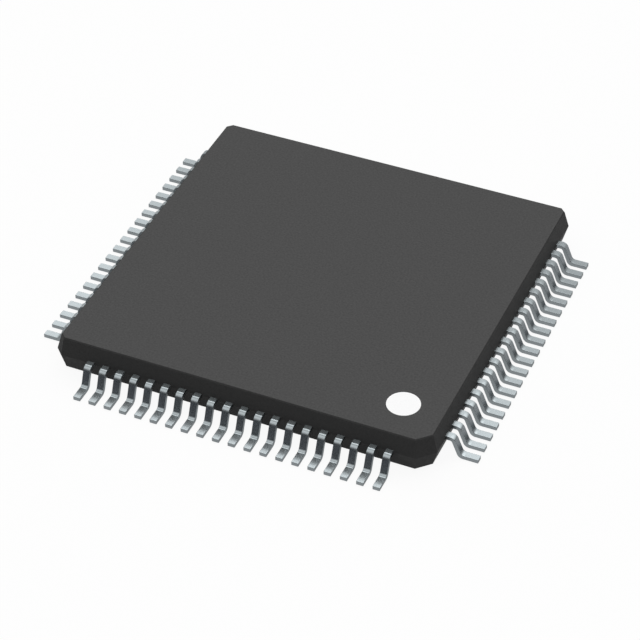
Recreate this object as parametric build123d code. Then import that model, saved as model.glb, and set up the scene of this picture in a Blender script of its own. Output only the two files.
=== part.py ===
from build123d import *

import os
from math import atan2, degrees, hypot, radians, sin, sqrt, tan

# A thin quad flat package with eighty leads: a square moulded integrated circuit
# with twenty gull-wing leads on each side. Millimetres, +Z up.
# The origin is the centre of the seating plane, where the undersides of the feet lie.
# The pin 1 corner is at -X +Y. Pins count anticlockwise seen from above: 1 starts the
# -X side beside that corner, and the last pin ends the +Y side beside it.

# Lead rows outside the body
leads_per_side = 20
lead_pitch = 0.5
row_end_margin = 1.25       # centre line of a row's last lead to the side of the body
lead_width = 0.22
lead_thickness = 0.127      # stock thickness of the whole lead frame
lead_reach = 1.0            # side of the body to the tip of the foot
foot_length = 0.6           # heel corner to tip, along the seating plane
leg_angle = 68              # degrees above the horizontal
bend_radius = 0.2           # outside of both bends

# Moulded body, widest at the parting plane half-way up
body_thickness = 1.13
standoff = 0.07             # seating plane to the underside of the body
mould_draft = 15            # degrees, on both halves
corner_chamfer = 0.245      # leg of the cut at three corners, at the parting plane
pin_1_chamfer = 0.475       # the same at the pin 1 corner
edge_break = 0.03           # around the top and bottom faces

# Pin 1 mark, a disc of ink in a shallow recess of the top face
mark_diameter = 1.0
mark_depth = 0.02
mark_inset = 1.42           # centre of the mark to the two nearest sides

# Mark of the mould's ejector pin, in the middle of the underside
ejector_diameter = 1.5
ejector_depth = 0.03

# Silicon die on its bed of adhesive
die_size = 5.0
die_thickness = 0.28
attach_thickness = 0.025
attach_overhang = 0.08      # squeeze-out of the adhesive beyond the die

# Die paddle and the tie bars that held it in the lead frame
paddle_border = 0.5         # paddle beyond the die
paddle_downset = 0.2        # paddle below the plane of the leads
tie_bar_width = 0.3
tie_bar_flat = 0.12         # level run between the paddle's corner and the downset bend
downset_run = 0.3           # horizontal length of the sloping part
tie_bar_cover = 0.25        # mould compound over the cut end of a tie bar

# Lead fingers inside the mould
paddle_gap = 0.75           # edge of the paddle to the finger tips
finger_gap = 0.17           # between neighbouring finger tips
tie_bar_clearance = 0.15    # tie bar to the tip of the nearest finger
root_length = 0.45          # straight root behind the side of the body

# Bond wires, from the pads on the die to the finger tips
pad_inset = 0.15            # edge of the die to the row of pads
pad_end_margin = 0.41       # edge of the die to the last pad of a row
wire_size = 0.03
loop_height = 0.13          # top of the die to the crown of the loop
stitch_inset = 0.15         # finger tip to the middle of the stitch
stitch_length = 0.12        # contact of a wire with its finger

# How the lead and wire pieces are put together into nodes
leads_per_group = 5

# Heights worked out from the sizes above
parting_z = standoff + body_thickness / 2
body_top = standoff + body_thickness
lead_top = parting_z + lead_thickness / 2
lead_bottom = parting_z - lead_thickness / 2
paddle_top = lead_top - paddle_downset
die_bottom = paddle_top + attach_thickness
die_top = die_bottom + die_thickness

# Distances from the centre of the package, along the row's own outward direction
side_x = ((leads_per_side - 1) * lead_pitch) / 2 + row_end_margin
root_x = side_x - root_length
paddle_size = die_size + 2 * paddle_border
tip_x = paddle_size / 2 + paddle_gap
pad_x = die_size / 2 - pad_inset

# The finger tips of one row fill the side of a square, short of the tie bars at its ends
tip_row_length = 2 * (tip_x - sqrt(2) * (tie_bar_width / 2 + tie_bar_clearance))
tip_width = (tip_row_length - (leads_per_side - 1) * finger_gap) / leads_per_side
tip_pitch = tip_width + finger_gap
pad_pitch = (die_size - 2 * pad_end_margin) / (leads_per_side - 1)


def mould_outline():
    """The body seen from above at the parting plane: a square with its corners cut."""
    outline = Rectangle(2 * side_x, 2 * side_x)
    beyond_pin_1 = (-2 * side_x, 2 * side_x, 0)
    other_corners = outline.vertices().sort_by_distance(beyond_pin_1)[1:]
    outline = chamfer(other_corners, corner_chamfer)
    pin_1_corner = outline.vertices().sort_by_distance(beyond_pin_1)[0]
    return chamfer(pin_1_corner, pin_1_chamfer)


def mark_disc():
    """The pin 1 mark, flush with the top face."""
    place = Pos(-(side_x - mark_inset), side_x - mark_inset, body_top)
    flush = (Align.CENTER, Align.CENTER, Align.MAX)
    return place * Cylinder(mark_diameter / 2, mark_depth, align=flush)


def ejector_mark():
    """The shallow round recess that the ejector pin leaves in the underside."""
    rising = (Align.CENTER, Align.CENTER, Align.MIN)
    return Pos(0, 0, standoff) * Cylinder(ejector_diameter / 2, ejector_depth, align=rising)


def mould_block():
    """The solid moulding, with both halves drafted away from the parting plane and no pockets yet."""
    parting = Plane.XY.offset(parting_z)
    outline = parting * mould_outline()
    halves = []
    for height in (body_thickness / 2, -body_thickness / 2):
        half = extrude(outline, amount=height)
        sides = half.faces().filter_by(Axis.Z, reverse=True)
        inwards = mould_draft if height > 0 else -mould_draft
        halves.append(draft(sides, parting, inwards))
    block = halves[0] + halves[1]
    faces = block.faces().sort_by(Axis.Z)
    return chamfer(faces[0].edges() + faces[-1].edges(), edge_break)


def gull_wing():
    """A lead outside the mould and its root inside, at the middle of a row on the +X side."""
    lean = 1 / tan(radians(leg_angle))
    slant = lead_thickness / sin(radians(leg_angle))
    tip = side_x + lead_reach
    heel = tip - foot_length
    instep = heel + slant
    corners = [
        (root_x, lead_top),
        (instep - lead_top * lean, lead_top),
        (instep - lead_thickness * lean, lead_thickness),
        (tip, lead_thickness),
        (tip, 0),
        (heel, 0),
        (heel - lead_bottom * lean, lead_bottom),
        (root_x, lead_bottom),
    ]
    radii = [0, bend_radius, 0, 0, 0, bend_radius, 0, 0]
    profile = make_face(FilletPolyline(*corners, radius=radii, close=True))
    return extrude(Plane.XZ * profile, amount=lead_width / 2, both=True)


def row_offset(position):
    """How many pitches a place in the row, counted from 0, lies from the row's middle."""
    return position - (leads_per_side - 1) / 2


def lead(position, wing):
    """One whole lead of the +X row: the gull wing and the finger that fans in from its root."""
    root_y = row_offset(position) * lead_pitch
    tip_y = row_offset(position) * tip_pitch
    plan = Polyline(
        (tip_x, tip_y - tip_width / 2),
        (root_x, root_y - lead_width / 2),
        (root_x, root_y + lead_width / 2),
        (tip_x, tip_y + tip_width / 2),
        close=True,
    )
    finger = extrude(Pos(0, 0, lead_bottom) * make_face(plan), amount=lead_thickness)
    return (Pos(0, root_y, 0) * wing + finger).solid()


def bond_wire(position):
    """One wire of the +X row: straight up from its pad, then down to the stitch on its finger."""
    pad_y = row_offset(position) * pad_pitch
    fan_slope = row_offset(position) * (lead_pitch - tip_pitch) / (root_x - tip_x)
    stitch_y = row_offset(position) * tip_pitch + fan_slope * stitch_inset
    run_x = tip_x + stitch_inset - pad_x
    run_y = stitch_y - pad_y
    run = hypot(run_x, run_y)
    crown = die_top + loop_height
    half = wire_size / 2
    profile = Polyline(
        (half, die_top),
        (half, crown - wire_size),
        (run - stitch_length / 2, lead_top),
        (run + stitch_length / 2, lead_top),
        (-half, crown),
        (-half, die_top),
        close=True,
    )
    wire = extrude(Plane.XZ * make_face(profile), amount=half, both=True)
    heading = degrees(atan2(run_y, run_x))
    return (Pos(pad_x, pad_y, 0) * Rot(0, 0, heading) * wire).solid()


def around(row_pieces):
    """A row's pieces turned to all four sides, in the order of the pin numbers."""
    return [Rot(0, 0, 180 + 90 * row) * piece for row in range(4) for piece in row_pieces]


def tie_bar(end):
    """A bar from the paddle along +X: level, up the downset slope, and level again to its end."""
    paddle_z = paddle_top - lead_thickness / 2
    bend = sqrt(2) * paddle_size / 2 + tie_bar_flat
    path = Polyline(
        (paddle_size / 2, paddle_z),
        (bend, paddle_z),
        (bend + downset_run, parting_z),
        (end, parting_z),
    )
    return extrude(Plane.XZ * trace(path, lead_thickness), amount=tie_bar_width / 2, both=True)


def die_paddle():
    """The sunk square under the die, with a tie bar towards each corner of the body."""
    hanging = (Align.CENTER, Align.CENTER, Align.MAX)
    paddle = Pos(0, 0, paddle_top) * Box(paddle_size, paddle_size, lead_thickness, align=hanging)
    corner_reach = sqrt(2) * side_x - tie_bar_cover
    for turn in (45, -45, -135):
        paddle += Rot(0, 0, turn) * tie_bar(corner_reach - corner_chamfer / sqrt(2))
    paddle += Rot(0, 0, 135) * tie_bar(corner_reach - pin_1_chamfer / sqrt(2))
    return paddle.solid()


def slab(size, thickness, bottom):
    """A square plate on a given height."""
    standing = (Align.CENTER, Align.CENTER, Align.MIN)
    return (Pos(0, 0, bottom) * Box(size, size, thickness, align=standing)).solid()


def write(name, shape):
    """One file for each node."""
    export_step(shape, f"parts/{name}.step")


def write_groups(name, pieces):
    """Neighbouring pieces share a node, named by the first and last pin that they belong to."""
    for first in range(0, len(pieces), leads_per_group):
        group = pieces[first:first + leads_per_group]
        write(f"{name}_{first + 1:02d}_{first + len(group):02d}", Compound(group))


os.makedirs("parts", exist_ok=True)

wing = gull_wing()
leads = around([lead(position, wing) for position in range(leads_per_side)])
wires = around([bond_wire(position) for position in range(leads_per_side)])
paddle = die_paddle()
attach = slab(die_size + 2 * attach_overhang, attach_thickness, paddle_top)
die = slab(die_size, die_thickness, die_bottom)
mark = mark_disc().solid()

pockets = [*leads, *wires, paddle, attach, die, mark, ejector_mark()]
body = (mould_block() - pockets).solid()

write("body", body)
write("pin_1_mark", mark)
write("die", die)
write("die_attach", attach)
write("die_paddle", paddle)
write_groups("leads", leads)
write_groups("bond_wires", wires)
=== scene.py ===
import math

import bmesh
import bpy
from mathutils import Matrix, Vector


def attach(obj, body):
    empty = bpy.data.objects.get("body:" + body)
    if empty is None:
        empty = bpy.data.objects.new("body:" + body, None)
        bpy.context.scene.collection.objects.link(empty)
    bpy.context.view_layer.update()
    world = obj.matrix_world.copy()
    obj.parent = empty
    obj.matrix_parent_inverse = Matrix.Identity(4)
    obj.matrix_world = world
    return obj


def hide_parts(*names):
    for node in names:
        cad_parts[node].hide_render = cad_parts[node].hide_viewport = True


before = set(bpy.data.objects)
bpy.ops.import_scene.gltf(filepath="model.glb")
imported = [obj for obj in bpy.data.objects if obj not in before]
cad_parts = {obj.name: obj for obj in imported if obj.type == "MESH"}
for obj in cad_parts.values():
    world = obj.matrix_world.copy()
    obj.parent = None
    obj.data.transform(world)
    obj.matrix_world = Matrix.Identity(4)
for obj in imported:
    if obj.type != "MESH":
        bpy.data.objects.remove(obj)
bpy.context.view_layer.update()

# The dressed model of a thin quad flat package with eighty leads. Its meshes are drawn in
# millimetres and brought to metres when they are finished. The pin 1 corner is at -X +Y,
# and the front, where the camera stands, is the +Y side.
MM = 0.001

# Camera, at the place that the photograph was taken from
VIEW_AZIMUTH = math.radians(203.929)
VIEW_ELEVATION = math.radians(40.257)
VIEW_ROLL = math.radians(-0.464)
VIEW_DISTANCE = 71.766 * MM
VIEW_TARGET = Vector((-0.6265, 1.4868, 0.6)) * MM
CLIP_NEAR = 1 * MM
CLIP_FAR = 10
FOCAL_LENGTH = 134.31
SENSOR_WIDTH = 36.0

# Heights of the moulded body
BODY_BOTTOM = 0.07
BODY_TOP = 1.20

# Gull-wing leads. The places of their parts are distances from the middle of the package.
LEADS_PER_SIDE = 20
LEADS_PER_GROUP = 5
LEAD_COUNT = 4 * LEADS_PER_SIDE
PITCH = 0.5
LEAD_WIDTH = 0.22
LEAD_THICKNESS = 0.127
LEAD_TIP = 7.0
LEAD_ROOT = 5.55
FOOT_LENGTH = 0.6
LEG_ANGLE = math.radians(68)
OUTER_BEND = 0.2            # radius of the outside of both bends
INSTEP_BEND = 0.14          # radius between the leg and the top of the foot
BEND_STEPS = 10
UPRIGHT_SLACK = 1e-6        # by how much an upright face's length may pass its rise

# Lead fingers inside the mould
FINGER_TIP = 3.75
FINGER_WIDTH = 0.171
FINGER_GAP = 0.17
FINGER_PITCH = FINGER_WIDTH + FINGER_GAP

# Rounding of the leads' edges by the plating
EDGE_RADIUS = 0.01
EDGE_SEGMENTS = 2
SHARP_ANGLE = math.radians(60)
FLATNESS_WEIGHT = 100       # the shading beside an edge follows its largest face

# Material slots of a lead group
PLATED_SLOT = 0
SHEARED_SLOT = 1

# Share of a metal's shine that is left where it is seen at a grazing angle
EDGE_TINT = (0.6, 0.6, 0.6, 1)

# Floor. Its glow is the share of plain white that the camera and reflections see.
FLOOR_REACH = 2000.0
FLOOR_DROP = 0.002
FLOOR_COLOUR = (0.85, 0.85, 0.85, 1)
FLOOR_GLOW = 0.92

# Low dark card in front of the package
CARD_REACH = 12.0
CARD_GAP = 1.2              # between the card and the tips of the feet
CARD_HEIGHT = 1.0
CARD_COLOUR = (0.09, 0.10, 0.125, 1)

# Studio light. Strengths are shares of plain white. Each pair says where a soft edge starts and
# ends, by how far a direction points towards the side that make_world measures it from.
TENT_LEAN = math.radians(40)
TENT_STRENGTH = 0.58
TENT_LOWER_EDGE = (-0.5, 0.1)
TENT_RIGHT_EDGE = (0.62, 0.92)
TENT_RIGHT_SHARE = 0.1
CEILING_STRENGTH = 0.225
CEILING_EDGE = (0.3, 0.9)
BACK_BOX_STRENGTH = 1.58
BACK_BOX_NEAR_EDGE = (0.18, 0.30)
BACK_BOX_FAR_EDGE = (0.75, 0.66)
BACK_BOX_LOWER_EDGE = (0.2, 0.45)
BACK_BOX_LEFT_EDGE = (0.0, 0.7)
BACK_BOX_LEFT_SHARE = 0.35
BACK_BOX_RIGHT_EDGE = (0.3, 0.75)
BACK_BOX_RIGHT_SHARE = 0.4
FRONT_BOX_STRENGTH = 0.4
FRONT_BOX_NEAR_EDGE = (0.05, 0.3)
FRONT_BOX_LOWER_EDGE = (0.5, 0.75)


def new_object(name, mesh):
    piece = bpy.data.objects.new(name, mesh)
    bpy.context.scene.collection.objects.link(piece)
    return piece


def arc(corner, before, after, radius):
    """Points round a bend of the lead's side view, from one straight to the next."""
    corner = Vector(corner)
    back = (Vector(before) - corner).normalized()
    ahead = (Vector(after) - corner).normalized()
    half = back.angle(ahead) / 2
    centre = corner + (back + ahead).normalized() * (radius / math.sin(half))
    start = corner + back * (radius / math.tan(half)) - centre
    sense = 1 if back.x * ahead.y - back.y * ahead.x < 0 else -1
    step_angle = sense * (math.pi - 2 * half) / BEND_STEPS
    return [centre + Matrix.Rotation(step_angle * step, 2) @ start for step in range(BEND_STEPS + 1)]


def lead_profile():
    """Side view of one gull wing from its root to the tip of its foot, x outwards and y up."""
    top = (BODY_BOTTOM + BODY_TOP + LEAD_THICKNESS) / 2
    bottom = top - LEAD_THICKNESS
    lean = 1 / math.tan(LEG_ANGLE)
    heel = LEAD_TIP - FOOT_LENGTH
    instep = heel + LEAD_THICKNESS / math.sin(LEG_ANGLE)
    corners = [
        ((LEAD_ROOT, bottom), 0),
        ((LEAD_ROOT, top), 0),
        ((instep - top * lean, top), OUTER_BEND),
        ((instep - LEAD_THICKNESS * lean, LEAD_THICKNESS), INSTEP_BEND),
        ((LEAD_TIP, LEAD_THICKNESS), 0),
        ((LEAD_TIP, 0), 0),
        ((heel, 0), OUTER_BEND),
        ((heel - bottom * lean, bottom), OUTER_BEND - LEAD_THICKNESS),
    ]
    outline = []
    for i, (point, radius) in enumerate(corners):
        if radius:
            outline += arc(point, corners[i - 1][0], corners[(i + 1) % len(corners)][0], radius)
        else:
            outline.append(Vector(point))
    return outline


def add_lead(shape, row, position, outline):
    """One whole lead: the gull wing, and the finger that fans in towards the die."""
    turn = Matrix.Rotation(math.radians(180 + 90 * row), 3, "Z")
    place = position - (LEADS_PER_SIDE - 1) / 2
    uv = shape.loops.layers.uv.verify()

    def pair(x, z, middle, width):
        """Two points across the lead, one at each side."""
        return [shape.verts.new(turn @ Vector((x, middle + side * width / 2, z))) for side in (-1, 1)]

    top = outline[1].y
    bottom = top - LEAD_THICKNESS
    wing = [pair(point.x, point.y, place * PITCH, LEAD_WIDTH) for point in outline]
    finger = [pair(FINGER_TIP, z, place * FINGER_PITCH, FINGER_WIDTH) for z in (bottom, top)]
    band = [wing[0], finger[0], finger[1]] + wing[1:]
    strips = list(zip(band, band[1:] + band[:1]))
    lengths = [0.0]
    for one, other in strips:
        lengths.append(lengths[-1] + (one[0].co - other[0].co).length)

    # The rolled surfaces and the cut ends, each a strip across the lead
    for i, (one, other) in enumerate(strips):
        face = shape.faces.new((one[0], one[1], other[1], other[0]))
        for loop, (side, end) in zip(face.loops, ((0, 0), (1, 0), (1, 1), (0, 1))):
            loop[uv].uv = (place * PITCH + side * LEAD_WIDTH, lengths[i + end])
        rise = abs(one[0].co.z - other[0].co.z)
        upright = (one[0].co - other[0].co).length - rise < UPRIGHT_SLACK
        face.material_index = SHEARED_SLOT if upright else PLATED_SLOT

    # The sheared sides, the wing's and the finger's
    for side in (0, 1):
        wing_side = [points[side] for points in wing]
        finger_side = [points[side] for points in (wing[1], wing[0], finger[0], finger[1])]
        for edge in (wing_side, finger_side):
            face = shape.faces.new(edge)
            face.material_index = SHEARED_SLOT
            for loop in face.loops:
                loop[uv].uv = (loop.vert.co.z, loop.vert.co.xy.length)


def make_lead_group(name, first):
    """Five neighbouring leads, numbered from 0 round the package from the pin 1 corner."""
    outline = lead_profile()
    shape = bmesh.new()
    for pin in range(first, first + LEADS_PER_GROUP):
        add_lead(shape, *divmod(pin, LEADS_PER_SIDE), outline)
    bmesh.ops.recalc_face_normals(shape, faces=shape.faces)
    mesh = bpy.data.meshes.new(name)
    shape.to_mesh(mesh)
    shape.free()
    mesh.materials.append(PLATED)
    mesh.materials.append(SHADED_SHEARED)
    mesh.shade_smooth()
    group = new_object(name, mesh)
    round_edges(group)
    group.data.transform(Matrix.Scale(MM, 4))
    return group


def round_edges(piece):
    """Rounds the sharp edges, as tin plating does, with the shading of the flats kept flat."""
    modifier = piece.modifiers.new("edges", "BEVEL")
    modifier.width = EDGE_RADIUS
    modifier.segments = EDGE_SEGMENTS
    modifier.limit_method = "ANGLE"
    modifier.angle_limit = SHARP_ANGLE
    modifier.material = PLATED_SLOT
    flats = piece.modifiers.new("flats", "WEIGHTED_NORMAL")
    flats.mode = "FACE_AREA"
    flats.weight = FLATNESS_WEIGHT
    graph = bpy.context.evaluated_depsgraph_get()
    rounded = bpy.data.meshes.new_from_object(piece.evaluated_get(graph))
    piece.modifiers.clear()
    sharp = piece.data
    piece.data = rounded
    bpy.data.meshes.remove(sharp)


def bare_material(name):
    """A material with an output node alone."""
    material = bpy.data.materials.new(name)
    material.use_nodes = True
    nodes = material.node_tree.nodes
    nodes.clear()
    return material, nodes.new("ShaderNodeOutputMaterial")


def new_material(name):
    material, output = bare_material(name)
    shader = material.node_tree.nodes.new("ShaderNodeBsdfPrincipled")
    material.node_tree.links.new(shader.outputs[0], output.inputs[0])
    return material, shader


def noise(material, size, detail=3.0, stretch=(1, 1, 1), space="Object"):
    """Noise with features of about a given size in millimetres, by object or UV coordinates."""
    nodes, links = material.node_tree.nodes, material.node_tree.links
    place = nodes.new("ShaderNodeTexCoord")
    scale = nodes.new("ShaderNodeMapping")
    unit = MM if space == "Object" else 1.0
    scale.inputs["Scale"].default_value = [s / (size * unit) for s in stretch]
    texture = nodes.new("ShaderNodeTexNoise")
    texture.inputs["Scale"].default_value = 1.0
    texture.inputs["Detail"].default_value = detail
    links.new(place.outputs[space], scale.inputs["Vector"])
    links.new(scale.outputs["Vector"], texture.inputs["Vector"])
    return texture.outputs["Fac"]


def rgba(colour):
    """A colour with its alpha, from three numbers, or from one for a grey."""
    return (*colour, 1) if isinstance(colour, tuple) else (colour, colour, colour, 1)


def ramp(material, value, low, high, start=0.3, end=0.7):
    """Turns a value into a number or colour between two given ones."""
    blend = material.node_tree.nodes.new("ShaderNodeValToRGB")
    first, last = blend.color_ramp.elements
    first.position = start
    first.color = rgba(low)
    last.position = end
    last.color = rgba(high)
    material.node_tree.links.new(value, blend.inputs["Fac"])
    return blend.outputs["Color"]


def flatness(material, start, end):
    """0 on steep faces and 1 on level ones, facing up or down."""
    nodes, links = material.node_tree.nodes, material.node_tree.links
    surface = nodes.new("ShaderNodeNewGeometry")
    split = nodes.new("ShaderNodeSeparateXYZ")
    level = nodes.new("ShaderNodeMath")
    level.operation = "ABSOLUTE"
    links.new(surface.outputs["True Normal"], split.inputs[0])
    links.new(split.outputs["Z"], level.inputs[0])
    return ramp(material, level.outputs[0], low=0.0, high=1.0, start=start, end=end)


def mixed(material, share, low, high):
    """A colour or number from one input where the share is 0 to the other where it is 1."""
    nodes, links = material.node_tree.nodes, material.node_tree.links
    mix = nodes.new("ShaderNodeMix")
    mix.data_type = "RGBA"
    links.new(share, mix.inputs["Factor"])
    links.new(low, mix.inputs["A"])
    links.new(high, mix.inputs["B"])
    return mix.outputs["Result"]


def bump(material, shader, height, depth):
    """Bump of a real depth in millimetres."""
    nodes, links = material.node_tree.nodes, material.node_tree.links
    bumped = nodes.new("ShaderNodeBump")
    bumped.inputs["Distance"].default_value = depth * MM
    links.new(height, bumped.inputs["Height"])
    links.new(bumped.outputs["Normal"], shader.inputs["Normal"])


def mould_compound():
    """Matt black epoxy, finely grained, with painted light and shade: level faces lighter, sides darker.
    """
    material, shader = new_material("mould_compound")
    links = material.node_tree.links
    grain = noise(material, size=0.06, detail=4.0)
    patches = noise(material, size=0.4)
    # Painted light and shade: level faces get a lighter colour and drafted sides a darker one.
    lit_matt = ramp(material, grain, low=0.061, high=0.082)
    painted_shade_sides = ramp(material, grain, low=0.034, high=0.040)
    level = flatness(material, start=0.8, end=0.97)
    links.new(mixed(material, level, painted_shade_sides, lit_matt), shader.inputs["Base Color"])
    links.new(ramp(material, patches, low=0.5, high=0.6), shader.inputs["Roughness"])
    shader.inputs["Specular IOR Level"].default_value = 0.05
    bump(material, shader, grain, depth=0.004)
    return material


def tin_plating():
    """Satin tin on the rolled faces, rougher on the steep leg and painted darker there: painted shade."""
    material, shader = new_material("tin_plating")
    nodes, links = material.node_tree.nodes, material.node_tree.links
    rolling_lines = noise(material, size=0.012, stretch=(1, 0.04, 1), space="UV")
    clouds = noise(material, size=0.05)
    sloping = flatness(material, start=0.42, end=0.85)
    flat = flatness(material, start=0.97, end=0.998)

    bright = ramp(material, clouds, low=(0.385, 0.425, 0.44), high=(0.41, 0.455, 0.47))
    # Painted shade: the steep faces get a darker copy of the tin's colour.
    painted_shade_steep = ramp(material, clouds, low=(0.185, 0.205, 0.215), high=(0.205, 0.225, 0.24))
    links.new(mixed(material, sloping, painted_shade_steep, bright), shader.inputs["Base Color"])

    rough_leg = ramp(material, clouds, low=0.19, high=0.21)
    rough_bend = ramp(material, clouds, low=0.09, high=0.11)
    rough_flat = ramp(material, clouds, low=0.13, high=0.15)
    satin = mixed(material, flat, rough_bend, rough_flat)
    links.new(mixed(material, sloping, rough_leg, satin), shader.inputs["Roughness"])

    shader.inputs["Metallic"].default_value = 0.75
    shader.inputs["Specular Tint"].default_value = EDGE_TINT
    shader.inputs["Anisotropic"].default_value = 0.5
    shader.inputs["Anisotropic Rotation"].default_value = 0.25
    across = nodes.new("ShaderNodeTangent")
    across.direction_type = "UV_MAP"
    links.new(across.outputs[0], shader.inputs["Tangent"])
    bump(material, shader, rolling_lines, depth=0.00006)
    return material


def grained(name, colours, roughness, size, detail=3.0, stretch=(1, 1, 1), depth=0.0005, metal=False):
    """A material whose colour and roughness run between two given ones across a fine grain."""
    material, shader = new_material(name)
    links = material.node_tree.links
    grain = noise(material, size, detail, stretch)
    links.new(ramp(material, grain, *colours), shader.inputs["Base Color"])
    links.new(ramp(material, grain, *roughness), shader.inputs["Roughness"])
    if metal:
        shader.inputs["Metallic"].default_value = 1.0
        shader.inputs["Specular Tint"].default_value = EDGE_TINT
    bump(material, shader, grain, depth)
    return material


COMPOUND = mould_compound()
PLATED = tin_plating()
# Sheared sides and cut ends: their own rougher stamped grain, and a darker colour that is painted shade.
SHADED_SHEARED = grained(
    "shaded_sheared_edge",
    colours=((0.22, 0.242, 0.252), (0.26, 0.285, 0.297)),
    roughness=(0.32, 0.42),
    size=0.04,
    detail=4.0,
    stretch=(1, 1, 3),
    depth=0.0003,
    metal=True,
)
INK = grained(
    "mark_ink",
    colours=(0.93, 0.96),
    roughness=(0.6, 0.7),
    size=0.05,
    depth=0.001,
)
SILICON = grained(
    "silicon",
    colours=((0.10, 0.11, 0.13), (0.16, 0.17, 0.20)),
    roughness=(0.15, 0.25),
    size=0.2,
)
ADHESIVE = grained(
    "silver_adhesive",
    colours=(0.50, 0.66),
    roughness=(0.45, 0.55),
    size=0.05,
)
PADDLE = grained(
    "paddle_copper",
    colours=((0.62, 0.36, 0.24), (0.74, 0.46, 0.32)),
    roughness=(0.3, 0.4),
    size=0.08,
    detail=4.0,
    metal=True,
)
GOLD = grained(
    "wire_gold",
    colours=((0.86, 0.62, 0.26), (0.94, 0.72, 0.36)),
    roughness=(0.15, 0.25),
    size=0.02,
    detail=4.0,
    metal=True,
)


def dress(name, material):
    """Gives a carried-over CAD node its material."""
    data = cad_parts[name].data
    data.materials.clear()
    data.materials.append(material)


dress("body", COMPOUND)
dress("pin_1_mark", INK)
dress("die", SILICON)
dress("die_attach", ADHESIVE)
dress("die_paddle", PADDLE)
for first in range(0, LEAD_COUNT, LEADS_PER_GROUP):
    pins = f"{first + 1:02d}_{first + LEADS_PER_GROUP:02d}"
    group = make_lead_group(f"gull_wings_{pins}", first)
    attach(group, "root")
    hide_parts(f"leads_{pins}")
    dress(f"bond_wires_{pins}", GOLD)


def studio_sheet(name, corners, material):
    """One flat face of the studio."""
    mesh = bpy.data.meshes.new(name)
    mesh.from_pydata(corners, [], [(0, 1, 2, 3)])
    mesh.materials.append(material)
    return new_object(name, mesh)


def floor_paint():
    """Pale matt paint that the camera and reflections see as nearly plain white."""
    material, output = bare_material("pale_floor")
    nodes, links = material.node_tree.nodes, material.node_tree.links
    rays = nodes.new("ShaderNodeLightPath")
    seen = rays.outputs["Is Camera Ray"]
    for kind in ("Is Glossy Ray", "Is Transmission Ray"):
        either = nodes.new("ShaderNodeMath")
        either.operation = "MAXIMUM"
        links.new(seen, either.inputs[0])
        links.new(rays.outputs[kind], either.inputs[1])
        seen = either.outputs[0]
    share = nodes.new("ShaderNodeMath")
    share.operation = "MULTIPLY"
    share.inputs[1].default_value = FLOOR_GLOW
    lit_matt = nodes.new("ShaderNodeBsdfDiffuse")
    lit_matt.inputs["Color"].default_value = FLOOR_COLOUR
    glow = nodes.new("ShaderNodeEmission")
    mix = nodes.new("ShaderNodeMixShader")
    links.new(seen, share.inputs[0])
    links.new(share.outputs[0], mix.inputs["Fac"])
    links.new(lit_matt.outputs[0], mix.inputs[1])
    links.new(glow.outputs[0], mix.inputs[2])
    links.new(mix.outputs[0], output.inputs[0])
    return material


def make_floor():
    reach = FLOOR_REACH * MM
    corners = [(-reach, -reach, 0), (reach, -reach, 0), (reach, reach, 0), (-reach, reach, 0)]
    floor = studio_sheet("floor", corners, floor_paint())
    floor.location.z = -FLOOR_DROP * MM


def card_paint():
    material, output = bare_material("dark_card")
    paint = material.node_tree.nodes.new("ShaderNodeBsdfDiffuse")
    paint.inputs["Color"].default_value = CARD_COLOUR
    material.node_tree.links.new(paint.outputs[0], output.inputs[0])
    return material


def make_card():
    """A low dark card in front of the package, which the plated legs mirror and the camera doesn't see."""
    reach = CARD_REACH * MM
    place = (LEAD_TIP + CARD_GAP) * MM
    height = CARD_HEIGHT * MM
    corners = [(-reach, place, 0), (reach, place, 0), (reach, place, height), (-reach, place, height)]
    card = studio_sheet("flag", corners, card_paint())
    card.visible_camera = False
    card.visible_diffuse = False
    card.visible_shadow = False


class Sky:
    """Soft studio light as a function of the direction that it comes from."""

    def __init__(self, world):
        self.nodes = world.node_tree.nodes
        self.links = world.node_tree.links
        self.nodes.clear()
        self.place = self.nodes.new("ShaderNodeTexCoord")

    def towards(self, x, y, z):
        """How far a direction points towards a given one: the cosine of the angle between them."""
        facing = self.nodes.new("ShaderNodeVectorMath")
        facing.operation = "DOT_PRODUCT"
        facing.inputs[1].default_value = (x, y, z)
        self.links.new(self.place.outputs["Generated"], facing.inputs[0])
        return facing.outputs["Value"]

    def edge(self, value, band, low=0.0, high=1.0):
        """A soft edge of a light, from low at the start of its band to high at the end."""
        step = self.nodes.new("ShaderNodeMapRange")
        step.interpolation_type = "SMOOTHSTEP"
        for name, number in zip(("From Min", "From Max", "To Min", "To Max"), (*band, low, high)):
            step.inputs[name].default_value = number
        self.links.new(value, step.inputs["Value"])
        return step.outputs["Result"]

    def combine(self, operation, *values):
        total = values[0]
        for value in values[1:]:
            node = self.nodes.new("ShaderNodeMath")
            node.operation = operation
            self.links.new(total, node.inputs[0])
            self.links.new(value, node.inputs[1])
            total = node.outputs[0]
        return total


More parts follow.
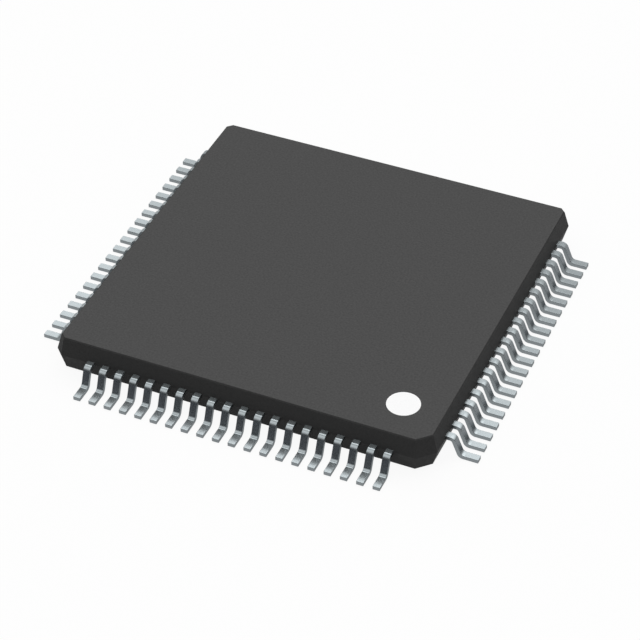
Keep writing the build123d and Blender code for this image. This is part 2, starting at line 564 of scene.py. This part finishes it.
def make_world():
    """A dim tent that darkens to the front, a softbox above the back and a weak one above the front."""
    world = bpy.data.worlds.new("studio")
    bpy.context.scene.world = world
    world.use_nodes = True
    sky = Sky(world)
    back = sky.towards(0, -1, 0)
    front = sky.towards(0, 1, 0)
    up = sky.towards(0, 0, 1)
    left = sky.towards(1, 0, 0)
    right = sky.towards(-1, 0, 0)
    tent_top = sky.towards(0, -math.sin(TENT_LEAN), math.cos(TENT_LEAN))
    tent = sky.combine(
        "MULTIPLY",
        sky.edge(tent_top, TENT_LOWER_EDGE, high=TENT_STRENGTH),
        sky.edge(right, TENT_RIGHT_EDGE, low=1.0, high=TENT_RIGHT_SHARE),
    )
    ceiling = sky.edge(up, CEILING_EDGE, high=CEILING_STRENGTH)
    back_box = sky.combine(
        "MULTIPLY",
        sky.edge(back, BACK_BOX_NEAR_EDGE),
        sky.edge(back, BACK_BOX_FAR_EDGE),
        sky.edge(up, BACK_BOX_LOWER_EDGE, high=BACK_BOX_STRENGTH),
        sky.edge(left, BACK_BOX_LEFT_EDGE, low=1.0, high=BACK_BOX_LEFT_SHARE),
        sky.edge(right, BACK_BOX_RIGHT_EDGE, low=1.0, high=BACK_BOX_RIGHT_SHARE),
    )
    front_box = sky.combine(
        "MULTIPLY",
        sky.edge(front, FRONT_BOX_NEAR_EDGE),
        sky.edge(up, FRONT_BOX_LOWER_EDGE, high=FRONT_BOX_STRENGTH),
    )
    background = sky.nodes.new("ShaderNodeBackground")
    background.inputs["Color"].default_value = (1.0, 1.0, 1.0, 1)
    sky.links.new(sky.combine("ADD", tent, ceiling, back_box, front_box), background.inputs["Strength"])
    output = sky.nodes.new("ShaderNodeOutputWorld")
    sky.links.new(background.outputs[0], output.inputs[0])


def make_camera():
    camera = bpy.data.cameras.new("camera")
    camera.lens = FOCAL_LENGTH
    camera.sensor_width = SENSOR_WIDTH
    camera.clip_start = CLIP_NEAR
    camera.clip_end = CLIP_FAR
    holder = new_object("camera", camera)
    back = Vector((
        math.sin(VIEW_AZIMUTH) * math.cos(VIEW_ELEVATION),
        -math.cos(VIEW_AZIMUTH) * math.cos(VIEW_ELEVATION),
        math.sin(VIEW_ELEVATION),
    ))
    right = Vector((math.cos(VIEW_AZIMUTH), math.sin(VIEW_AZIMUTH), 0))
    up = back.cross(right)
    rolled_right = right * math.cos(VIEW_ROLL) + up * math.sin(VIEW_ROLL)
    rolled_up = up * math.cos(VIEW_ROLL) - right * math.sin(VIEW_ROLL)
    place = VIEW_TARGET + back * VIEW_DISTANCE
    holder.matrix_world = Matrix((
        (rolled_right.x, rolled_up.x, back.x, place.x),
        (rolled_right.y, rolled_up.y, back.y, place.y),
        (rolled_right.z, rolled_up.z, back.z, place.z),
        (0, 0, 0, 1),
    ))
    bpy.context.scene.camera = holder


make_floor()
make_card()
make_world()
make_camera()
bpy.context.scene.view_settings.view_transform = "Standard"
